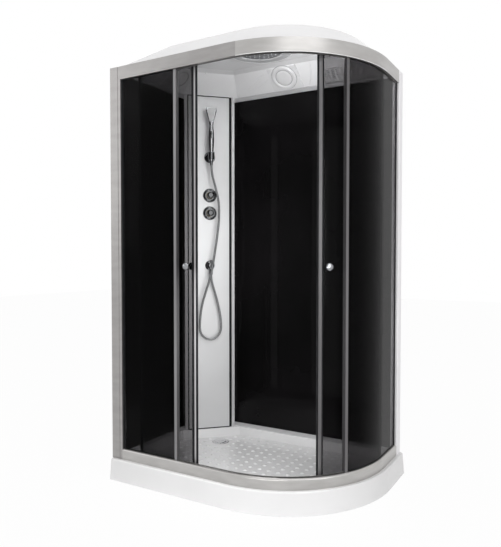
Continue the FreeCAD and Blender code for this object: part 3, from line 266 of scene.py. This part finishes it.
MATERIALS = {
    "tray_acrylic": coated("tray_acrylic", (0.83, 0.83, 0.835), (0.88, 0.88, 0.885),
                           (0.12, 0.18), scale=3, coat=0.3),
    "roof_acrylic": coated("roof_acrylic", (0.83, 0.83, 0.84), (0.88, 0.88, 0.89),
                           (0.16, 0.24), scale=3, coat=0.2),
    "satin_aluminium": coated("satin_aluminium", (0.42, 0.41, 0.415), (0.47, 0.46, 0.465),
                              (0.26, 0.34), scale=14, stretch=(1, 1, 0.1), metal=0.85,
                              grain=0.02),
    "rail_aluminium": coated("rail_aluminium", (0.33, 0.32, 0.315), (0.37, 0.36, 0.355),
                             (0.30, 0.36), scale=10, stretch=(1, 1, 4), metal=0.85, grain=0.02),
    "curved_aluminium": coated("curved_aluminium", (0.43, 0.42, 0.41), (0.48, 0.47, 0.46),
                               (0.30, 0.36), scale=10, stretch=(1, 1, 4), metal=0.85,
                               grain=0.02),
    "column_silver": coated("column_silver", (0.79, 0.795, 0.80), (0.83, 0.835, 0.84),
                            (0.36, 0.42), scale=2, metal=0.6, coat=0.05),
    # Chrome darkened well below real chrome: painted dark reflections of the surroundings.
    "chrome": coated("chrome", (0.26, 0.265, 0.28), (0.34, 0.345, 0.36), (0.05, 0.10), scale=20,
                     metal=1.0),
    "black_glass": coated("black_glass", (0.003, 0.003, 0.003), (0.006, 0.0055, 0.006),
                          (0.02, 0.05), scale=2),
    "black_rubber": coated("black_rubber", (0.008, 0.008, 0.009), (0.018, 0.018, 0.02),
                           (0.55, 0.7), scale=40, grain=0.1, specular=0.12),
    "edge_aluminium": coated("edge_aluminium", (0.20, 0.195, 0.20), (0.26, 0.255, 0.26),
                             (0.30, 0.38), scale=14, stretch=(1, 1, 0.1), metal=0.7),
    "post_white": coated("post_white", (0.89, 0.88, 0.90), (0.94, 0.93, 0.95), (0.25, 0.35),
                         scale=6, stretch=(1, 1, 0.1), metal=0.3),
    "rain_grey": coated("rain_grey", (0.15, 0.155, 0.165), (0.21, 0.215, 0.225), (0.25, 0.35),
                        scale=20),
    "white_plastic": coated("white_plastic", (0.74, 0.74, 0.73), (0.82, 0.82, 0.81),
                            (0.25, 0.4), scale=10),
    "grey_plastic": coated("grey_plastic", (0.24, 0.245, 0.25), (0.34, 0.345, 0.35),
                           (0.35, 0.5), scale=30, grain=0.05),
    "roof_grey": coated("roof_grey", (0.74, 0.74, 0.75), (0.80, 0.80, 0.81), (0.22, 0.34),
                        scale=8),
    "wheel_plastic": coated("wheel_plastic", (0.72, 0.72, 0.7), (0.84, 0.84, 0.82),
                            (0.3, 0.4), scale=20),
    "galvanised_steel": coated("galvanised_steel", (0.32, 0.33, 0.34), (0.52, 0.53, 0.54),
                               (0.35, 0.55), scale=25, metal=0.9, grain=0.1),
    "brass": coated("brass", (0.34, 0.28, 0.17), (0.44, 0.36, 0.22), (0.25, 0.4), scale=18,
                    metal=1.0),
    "dark_plastic": coated("dark_plastic", (0.05, 0.05, 0.055), (0.10, 0.10, 0.105),
                           (0.3, 0.45), scale=20),
    "smoked_glass": glass_material("smoked_glass", (0.235, 0.23, 0.235), (0.265, 0.26, 0.265)),
    "stile_satin": sheer_material("stile_satin", (0.48, 0.47, 0.48), (0.58, 0.57, 0.58), 0.2),
    # The same satin made darker for the right stile: painted shade.
    "stile_satin_painted_shade": sheer_material("stile_satin_painted_shade", (0.15, 0.145, 0.15), (0.21, 0.205, 0.21), 0.3),
    "white_aluminium": coated("white_aluminium", (0.62, 0.62, 0.63), (0.70, 0.70, 0.71),
                              (0.28, 0.36), scale=14, stretch=(0.2, 0.2, 0.1), metal=0.5),
    "edge_grey": coated("edge_grey", (0.13, 0.125, 0.13), (0.17, 0.165, 0.17), (0.30, 0.38),
                        scale=14, stretch=(1, 1, 0.1), metal=0.7),
    # Knobs and roses darker still than the chrome: painted dark reflections.
    "knob_chrome_painted_dark": coated("knob_chrome_painted_dark", (0.16, 0.165, 0.17), (0.24, 0.245, 0.25),
                          (0.05, 0.10), scale=20, metal=1.0),
    "bright_chrome": coated("bright_chrome", (0.62, 0.625, 0.64), (0.70, 0.705, 0.72),
                            (0.05, 0.09), scale=20, metal=1.0, rim=0.06),
    # Near-white bead finish: painted highlight on the curved rail's edge.
    "edge_painted_highlight": coated("edge_painted_highlight", (0.86, 0.86, 0.86), (0.92, 0.92, 0.92),
                            (0.2, 0.3), scale=10, metal=0.2),
    "drain_steel": coated("drain_steel", (0.70, 0.70, 0.71), (0.78, 0.78, 0.79), (0.18, 0.26),
                          scale=18, metal=0.8),
    # Grille a little darker than the white bars on it: painted shade between the bars.
    "grille_painted_shade": coated("grille_painted_shade", (0.70, 0.70, 0.71), (0.76, 0.76, 0.77), (0.3, 0.4),
                          scale=10),
    "ring_grey": coated("ring_grey", (0.46, 0.465, 0.475), (0.54, 0.545, 0.555), (0.25, 0.35),
                        scale=12),
    # Dark grey for the rings that paint the shade in the disc gaps.
    "gap_painted_shade": coated("gap_painted_shade", (0.28, 0.28, 0.285), (0.36, 0.36, 0.365), (0.5, 0.6),
                        scale=30),
    "face_grey": coated("face_grey", (0.54, 0.545, 0.55), (0.62, 0.625, 0.63), (0.3, 0.4),
                        scale=30),
    "nozzle_grey": coated("nozzle_grey", (0.55, 0.555, 0.57), (0.68, 0.685, 0.70),
                          (0.3, 0.4), scale=30),
}
wall_shader = MATERIALS["black_glass"].node_tree.nodes["Principled BSDF"]
wall_shader.inputs["IOR"].default_value = WALL_IOR


def hose_material():
    """Spiral metal hose: rings from a wave along the height."""
    made, nodes, links, shader = new_material("hose_grey")
    coordinates = nodes.new("ShaderNodeTexCoord")
    wave = nodes.new("ShaderNodeTexWave")
    wave.bands_direction = "Z"
    wave.inputs["Scale"].default_value = 90
    wave.inputs["Distortion"].default_value = 0.4
    links.new(coordinates.outputs["Object"], wave.inputs["Vector"])
    tint(nodes, links, wave.outputs["Fac"], (0.26, 0.265, 0.27), (0.60, 0.61, 0.62),
         shader.inputs["Base Color"], 0.1, 0.9)
    vary(nodes, links, wave.outputs["Fac"], 0.4, 0.22, shader.inputs["Roughness"])
    shader.inputs["Metallic"].default_value = 0.9
    bump(nodes, links, wave.outputs["Fac"], 0.6, 0.001, shader)
    return made


MATERIALS["hose_grey"] = hose_material()
SPECIAL_FINISH = {
    "top_rail_straight": "rail_aluminium", "top_rail_curved": "curved_aluminium",
    "bottom_rail": "curved_aluminium", "back_cove_disc": "roof_grey",
    "left_cove_disc": "roof_grey",
    "vent_grille": "grille_painted_shade", "rain_ring": "ring_grey", "rain_plate": "rain_grey",
    "left_wall_post": "rail_aluminium",
    "left_door_stile": "stile_satin", "right_door_stile": "stile_satin_painted_shade",
    "left_fixed_edge": "edge_aluminium", "right_fixed_edge": "edge_grey",
    "right_wall_post": "post_white", "wall_profiles": "white_aluminium",
    "column_edges": "white_aluminium", "drain_flange": "drain_steel",
    "drain_cover": "drain_steel", "knob_roses": "knob_chrome_painted_dark", "mixer_knob": "knob_chrome_painted_dark",
    "diverter_knob": "knob_chrome_painted_dark", "handset_body": "bright_chrome",
    "handset_face": "face_grey", "hose_outlet": "bright_chrome",
}


def dress(piece, finish):
    piece.data.materials.clear()
    piece.data.materials.append(MATERIALS[finish])


CAD_SHARP = 32

for entry in frame["record"]["subparts"]:
    node = frame["nodes"][entry["node"]]
    dress(node, SPECIAL_FINISH.get(entry["node"], entry["material_slot"]))
    node.data.shade_smooth()
    node.data.set_sharp_from_angle(angle=math.radians(CAD_SHARP))
dress(hose, "hose_grey")
hose.data.shade_smooth()


# ---------------------------------------------------------------- small forms

def mesh_piece(name, body, finish):
    """An empty mesh object that rides on a body; the caller fills it from a bmesh."""
    piece = bpy.data.objects.new(name, bpy.data.meshes.new(name))
    link(piece)
    dress(piece, finish)
    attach(piece, body)
    return piece


def fill(piece, shape, smooth=40):
    """Gives the piece its mesh; edges sharper than smooth degrees stay sharp."""
    shape.to_mesh(piece.data)
    shape.free()
    piece.data.shade_smooth()
    piece.data.set_sharp_from_angle(angle=math.radians(smooth))


def add_dome(shape, place, size, segments):
    """Ellipsoid of half-axes size, with segments round and up."""
    made = bmesh.ops.create_uvsphere(shape, u_segments=segments[0], v_segments=segments[1],
                                     radius=1)
    bmesh.ops.transform(shape, matrix=Matrix.Translation(place) @ Matrix.Diagonal((*size, 1)),
                        verts=made["verts"])


# Basin floor as in the tray: wall insets from the tray's box, rounded corner, slanted corner.
INSET_BY_WALLS = 0.062
INSET_BY_DOORS = 0.103
BASIN_RADIUS = 0.447
BASIN_SLANT = 0.66
BASIN_MARGIN = 0.022
WASTE_CLEAR = 0.062

BUMP_PITCH = 0.050
BUMP_START = (0.034, 0.042)
BUMP_SIZE = (0.0115, 0.0115, 0.0055)
BUMP_SUNK = 0.0008


def in_basin(x, y):
    """Inside the flat of the basin floor, a little clear of its edges and of the waste."""
    left = TRAY_LOW.x + INSET_BY_WALLS + BASIN_MARGIN
    right = TRAY_HIGH.x - INSET_BY_DOORS - BASIN_MARGIN
    back = TRAY_HIGH.y - INSET_BY_WALLS - BASIN_MARGIN
    front = TRAY_LOW.y + INSET_BY_DOORS + BASIN_MARGIN
    if not (left < x < right and front < y < back):
        return False
    if y - x > BASIN_SLANT - BASIN_MARGIN * 1.5:
        return False
    corner = Vector((x, y, 0)) - ARC_CENTRE
    if corner.x > 0 and corner.y < 0 and corner.length > BASIN_RADIUS - BASIN_MARGIN:
        return False
    low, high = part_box("drain_flange")
    middle = (low + high) / 2
    return math.hypot(x - middle.x, y - middle.y) > WASTE_CLEAR


def make_tray_bumps():
    piece = mesh_piece("tray_bumps", "cabin", "tray_acrylic")
    shape = bmesh.new()
    for i in range(-14, 12):
        for j in range(-9, 8):
            x = BUMP_START[0] + BUMP_PITCH * i
            y = BUMP_START[1] + BUMP_PITCH * j
            if in_basin(x, y):
                add_dome(shape, (x, y, BASIN_FLOOR - BUMP_SUNK), BUMP_SIZE, (14, 8))
    fill(piece, shape)


# The back cove: its foot, the way up its slope and the way into the cabin.
COVE_FOOT = Vector((0, 0.355, 1.950))
COVE_RISE = Vector((0, -0.105, 0.091)).normalized()
COVE_NORMAL = Vector((0, -COVE_RISE.z, COVE_RISE.y))
CEILING_RIBS = {
    "right": [(0.146, 0.137), (0.143, 0.112), (0.136, 0.080), (0.122, 0.044), (0.100, 0.008)],
    "upper": [(-0.116, 0.118), (-0.190, 0.078), (-0.268, 0.040)],
    "lower": [(-0.116, 0.076), (-0.170, 0.048), (-0.232, 0.018)],
}


RIB_RADIUS = 0.0026
RIB_SUNK = 0.0009


def on_cove(x, up, out=0.0):
    """Row-frame point on the back cove, up metres along the slope, out metres inward."""
    place = COVE_FOOT + COVE_RISE * up + COVE_NORMAL * out
    place.x = x
    return place


def make_ceiling_ribs():
    """Low ribs moulded on the back cove, from (x, distance up the slope) points."""
    for name, places in CEILING_RIBS.items():
        curve, route = make_route(
            "rib_route", [on_cove(x, up, -RIB_SUNK) for x, up in places], 10)
        curve.bevel_depth = RIB_RADIUS
        curve.bevel_resolution = 5
        piece = bpy.data.objects.new(f"ceiling_rib_{name}", curve_mesh(route))
        bpy.data.objects.remove(route)
        link(piece)
        dress(piece, "roof_acrylic")
        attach(piece, "cabin")
        piece.data.shade_smooth()


# Nozzles in each ring of the rain head, with the ring's radius.
NOZZLE_RINGS = ((6, 0.022), (12, 0.044), (18, 0.066), (24, 0.090))
NOZZLE_SIZE = (0.0042, 0.0042, 0.0032)
NOZZLE_RISE = 0.0012


def make_nozzles():
    """Soft nozzle tips that stand in the plate's openings."""
    piece = mesh_piece("nozzle_tips", "cabin", "nozzle_grey")
    low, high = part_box("rain_plate")
    middle = (low + high) / 2
    shape = bmesh.new()
    for count, radius in NOZZLE_RINGS:
        for i in range(count):
            turn = math.tau * i / count
            place = (middle.x + radius * math.cos(turn), middle.y + radius * math.sin(turn),
                     low.z + NOZZLE_RISE)
            add_dome(shape, place, NOZZLE_SIZE, (10, 6))
    fill(piece, shape)


TUBE_SIDES = 8
RING_STEPS = 72


def join_rows(shape, rows, closed):
    """Skins rows of points into a tube, back to the first row where it is closed."""
    for i in range(len(rows) if closed else len(rows) - 1):
        ahead = rows[(i + 1) % len(rows)]
        for j in range(TUBE_SIDES):
            k = (j + 1) % TUBE_SIDES
            shape.faces.new([rows[i][j], ahead[j], ahead[k], rows[i][k]])
    bmesh.ops.recalc_face_normals(shape, faces=shape.faces)


def make_ring(name, finish, turn, radius, thickness):
    """Round bead about the local Z of a placement."""
    piece = mesh_piece(name, "cabin", finish)
    shape = bmesh.new()
    rows = []
    for i in range(RING_STEPS):
        swing = math.tau * i / RING_STEPS
        row = []
        for j in range(TUBE_SIDES):
            roll = math.tau * j / TUBE_SIDES
            reach = radius + thickness * math.cos(roll)
            point = Vector((reach * math.cos(swing), reach * math.sin(swing),
                            thickness * math.sin(roll)))
            row.append(shape.verts.new(turn @ point))
        rows.append(row)
    join_rows(shape, rows, closed=True)
    fill(piece, shape, 60)


def cove_place(across, rise, inward, origin):
    """Placement on a cove: X across, Y up the slope, Z into the cabin."""
    turn = Matrix((across, rise, inward)).transposed().to_4x4()
    return Matrix.Translation(origin) @ turn


LIP_RISE = 0.0050
LIP_RADIUS = 0.1605
LIP_THICKNESS = 0.0030
DISC_UP = 0.077
BACK_DISC_X = -0.016
LEFT_COVE_FOOT = Vector((-0.555, 0.036, 1.950))
# Dark rings painted as the shade in the gaps of the round units: name, radius, distance from the
# cove; then thickness by unit.
DISC_SHADE_RINGS = (("inner", 0.0445, 0.0098), ("outer", 0.0685, 0.0062))
SHADE_RING_THICKNESS = {"back": 0.0014, "left": 0.0024}


def make_roof_beads():
    low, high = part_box("rain_ring")
    middle = (low + high) / 2
    make_ring("rain_lip", "roof_acrylic",
              Matrix.Translation((middle.x, middle.y, low.z + LIP_RISE)), LIP_RADIUS,
              LIP_THICKNESS)
    left_rise = Vector((-COVE_RISE.y, 0, COVE_RISE.z))
    left_normal = Vector((-COVE_NORMAL.y, 0, COVE_NORMAL.z))
    units = {
        "back": cove_place(Vector((1, 0, 0)), COVE_RISE, COVE_NORMAL,
                           on_cove(BACK_DISC_X, DISC_UP)),
        "left": cove_place(Vector((0, 1, 0)), left_rise, left_normal,
                           LEFT_COVE_FOOT + left_rise * DISC_UP),
    }
    # Thin dark rings at the discs' gaps: painted shade.
    for name, turn in units.items():
        for part, radius, depth in DISC_SHADE_RINGS:
            make_ring(f"{name}_disc_{part}_shade_ring", "gap_painted_shade",
                      turn @ Matrix.Translation((0, 0, depth)), radius, SHADE_RING_THICKNESS[name])


def add_box(shape, low, high, turn=Matrix()):
    """Box between two corners, in the frame of a placement."""
    made = bmesh.ops.create_cube(shape, size=1)
    middle = (Vector(low) + Vector(high)) / 2
    size = Vector(high) - Vector(low)
    bmesh.ops.transform(
        shape, matrix=turn @ Matrix.Translation(middle) @ Matrix.Diagonal((*size, 1)),
        verts=made["verts"])


VENT_X = 0.240
VENT_UP = 0.043
BAR_PITCH = 0.024
BAR_ROWS = (-0.0175, 0.0175)
BAR_HALF = Vector((0.0045, 0.0140, 0.0012))
BAR_CENTRE = 0.0052


def make_louvres():
    """Two rows of five upright bars on the grille's face."""
    piece = mesh_piece("vent_louvres", "cabin", "roof_acrylic")
    turn = cove_place(Vector((1, 0, 0)), COVE_RISE, COVE_NORMAL, on_cove(VENT_X, VENT_UP))
    shape = bmesh.new()
    for i in range(-2, 3):
        for y in BAR_ROWS:
            centre = Vector((BAR_PITCH * i, y, BAR_CENTRE))
            add_box(shape, centre - BAR_HALF, centre + BAR_HALF, turn)
    fill(piece, shape)


CAP_PLACE = (-0.4050, 0.1423, 2.0396)
CAP_RADIUS = 0.0050


def make_screw_cap():
    """Dome over a screw, on the roof above the column."""
    piece = mesh_piece("roof_screw_cap", "cabin", "roof_acrylic")
    shape = bmesh.new()
    add_dome(shape, CAP_PLACE, (CAP_RADIUS, CAP_RADIUS, CAP_RADIUS), (16, 10))
    fill(piece, shape)


EDGE_REACH = 0.5244
EDGE_RADIUS = 0.0014
EDGE_RISE = 0.0010
EDGE_START = 5
EDGE_SWEEP = 84
EDGE_STEPS = 60


def make_rail_edge():
    """Near-white bead on the lower front edge of the curved rail: a painted highlight along that
    edge.
    """
    piece = mesh_piece("rail_edge", "cabin", "edge_painted_highlight")
    shape = bmesh.new()
    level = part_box("top_rail_curved")[0].z + EDGE_RISE
    rows = []
    for i in range(EDGE_STEPS + 1):
        swing = math.radians(EDGE_START + EDGE_SWEEP * i / EDGE_STEPS)
        row = []
        for j in range(TUBE_SIDES):
            roll = math.tau * j / TUBE_SIDES
            reach = EDGE_REACH + EDGE_RADIUS * math.cos(roll)
            row.append(shape.verts.new((ARC_CENTRE.x + reach * math.sin(swing),
                                        ARC_CENTRE.y - reach * math.cos(swing),
                                        level + EDGE_RADIUS * math.sin(roll))))
        rows.append(row)
    join_rows(shape, rows, closed=False)
    fill(piece, shape)


GROOVE_PROUD = 0.0003
GROOVE_WIDTH = 0.0065
GROOVE_DEPTH = 0.0010
GROOVE_END = 0.002


def make_stile_groove():
    """Dark side of the left door's stile, where the glass edge sits in it."""
    piece = mesh_piece("stile_groove", "left_door", "black_rubber")
    low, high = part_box("left_door_stile")
    shape = bmesh.new()
    add_box(shape, (low.x - GROOVE_PROUD, low.y - GROOVE_PROUD, low.z + GROOVE_END),
            (low.x + GROOVE_WIDTH, low.y + GROOVE_DEPTH, high.z - GROOVE_END))
    fill(piece, shape)


make_tray_bumps()
make_ceiling_ribs()
make_nozzles()
make_roof_beads()
make_louvres()
make_screw_cap()
make_rail_edge()
make_stile_groove()


# ---------------------------------------------------------------- floor, backdrop and light

BRIGHT_SIDE = Vector((0.55, -0.82, 0.12)).normalized()
BRIGHT_WORLD = 0.70
DIM_WORLD = 0.35
BRIGHT_FADE = (0.35, 0.97)
FLOOR_SHARE = 0.97
FLOOR_SIZE = 12
FLOOR_LEVEL = -0.0005


def seen_rays(nodes, links):
    """1 for rays from the camera, from gloss and through glass, 0 for soft light."""
    path = nodes.new("ShaderNodeLightPath")
    first = nodes.new("ShaderNodeMath")
    first.operation = "MAXIMUM"
    second = nodes.new("ShaderNodeMath")
    second.operation = "MAXIMUM"
    links.new(path.outputs["Is Camera Ray"], first.inputs[0])
    links.new(path.outputs["Is Glossy Ray"], first.inputs[1])
    links.new(first.outputs["Value"], second.inputs[0])
    links.new(path.outputs["Is Transmission Ray"], second.inputs[1])
    return second.outputs["Value"]


def stage_material():
    """Pale floor that looks white to the camera and in reflections but keeps soft shadows."""
    made, nodes, links, shader = new_material("stage_floor")
    noise = placed_noise(nodes, links, 0.4)
    tint(nodes, links, noise.outputs["Fac"], (0.88, 0.88, 0.88), (0.92, 0.92, 0.92),
         shader.inputs["Base Color"])
    shader.inputs["Roughness"].default_value = 0.9
    glow = nodes.new("ShaderNodeEmission")
    glow.inputs["Color"].default_value = (1, 1, 1, 1)
    glow.inputs["Strength"].default_value = 1.0
    share = nodes.new("ShaderNodeMath")
    share.operation = "MULTIPLY"
    share.inputs[1].default_value = FLOOR_SHARE
    links.new(seen_rays(nodes, links), share.inputs[0])
    mix_into(nodes, links, share.outputs["Value"], shader.outputs["BSDF"],
             glow.outputs["Emission"])
    return made


def make_floor():
    shape = bmesh.new()
    bmesh.ops.create_grid(shape, x_segments=1, y_segments=1, size=FLOOR_SIZE)
    floor = bpy.data.objects.new("stage_floor", bpy.data.meshes.new("stage_floor"))
    shape.to_mesh(floor.data)
    shape.free()
    floor.location.z = FLOOR_LEVEL
    floor.data.materials.append(stage_material())
    link(floor)


def make_world():
    """White to the camera, in gloss and through glass; a soft glow, one side bright, as light."""
    world = bpy.data.worlds.new("studio")
    bpy.context.scene.world = world
    world.use_nodes = True
    nodes = world.node_tree.nodes
    links = world.node_tree.links
    nodes.clear()
    nodes.new("ShaderNodeOutputWorld")
    coordinates = nodes.new("ShaderNodeTexCoord")
    toward = nodes.new("ShaderNodeVectorMath")
    toward.operation = "DOT_PRODUCT"
    toward.inputs[1].default_value = BRIGHT_SIDE
    links.new(coordinates.outputs["Generated"], toward.inputs[0])
    glow = nodes.new("ShaderNodeMapRange")
    glow.interpolation_type = "SMOOTHSTEP"
    glow.inputs["From Min"].default_value = BRIGHT_FADE[0]
    glow.inputs["From Max"].default_value = BRIGHT_FADE[1]
    glow.inputs["To Min"].default_value = DIM_WORLD
    glow.inputs["To Max"].default_value = BRIGHT_WORLD
    links.new(toward.outputs["Value"], glow.inputs["Value"])
    soft = nodes.new("ShaderNodeBackground")
    soft.inputs["Color"].default_value = (1.0, 0.99, 0.985, 1)
    links.new(glow.outputs["Result"], soft.inputs["Strength"])
    white = nodes.new("ShaderNodeBackground")
    white.inputs["Color"].default_value = (1, 1, 1, 1)
    white.inputs["Strength"].default_value = 1.0
    mix_into(nodes, links, seen_rays(nodes, links), soft.outputs["Background"],
             white.outputs["Background"])


def area_light(name, place, target, size, watts):
    lamp = bpy.data.lights.new(name, "AREA")
    lamp.shape = "RECTANGLE"
    lamp.size, lamp.size_y = size
    lamp.energy = watts
    item = bpy.data.objects.new(name, lamp)
    item.location = place
    item.rotation_euler = (Vector(target) - Vector(place)).to_track_quat("-Z", "Y").to_euler()
    link(item)
    return item


# Name, place, target, size and watts; the inner lamps light the ceiling and the column.
OUTER_LAMPS = (
    ("key", (3.1, -1.2, 1.3), (0.2, -0.1, 1.0), (0.8, 1.4), 12),
    ("high", (2.3, -2.2, 3.2), (0.2, -0.2, 1.9), (2.6, 0.8), 14),
    ("low", (0.9, -3.0, 0.35), (-0.1, 0.2, 1.95), (1.8, 0.6), 18),
    ("side", (-3.0, -2.4, 2.2), (-0.2, 0, 1.0), (1.2, 2.2), 8),
    ("over", (0.2, -0.8, 4.0), (0, 0, 1.5), (2.0, 2.0), 18),
)
INNER_LAMPS = (
    ("inner_top", (0.30, -0.22, 1.86), (-0.05, 0.35, 1.93), (0.40, 0.15), 2.6),
    ("inner_low", (0.03, -0.30, 1.00), (-0.14, 0.25, 0.55), (0.30, 0.90), 4.8),
)

make_floor()
make_world()
for lamp in OUTER_LAMPS:
    area_light(*lamp)
for lamp in INNER_LAMPS:
    area_light(*lamp).visible_glossy = False
bpy.context.scene.view_settings.view_transform = "Standard"
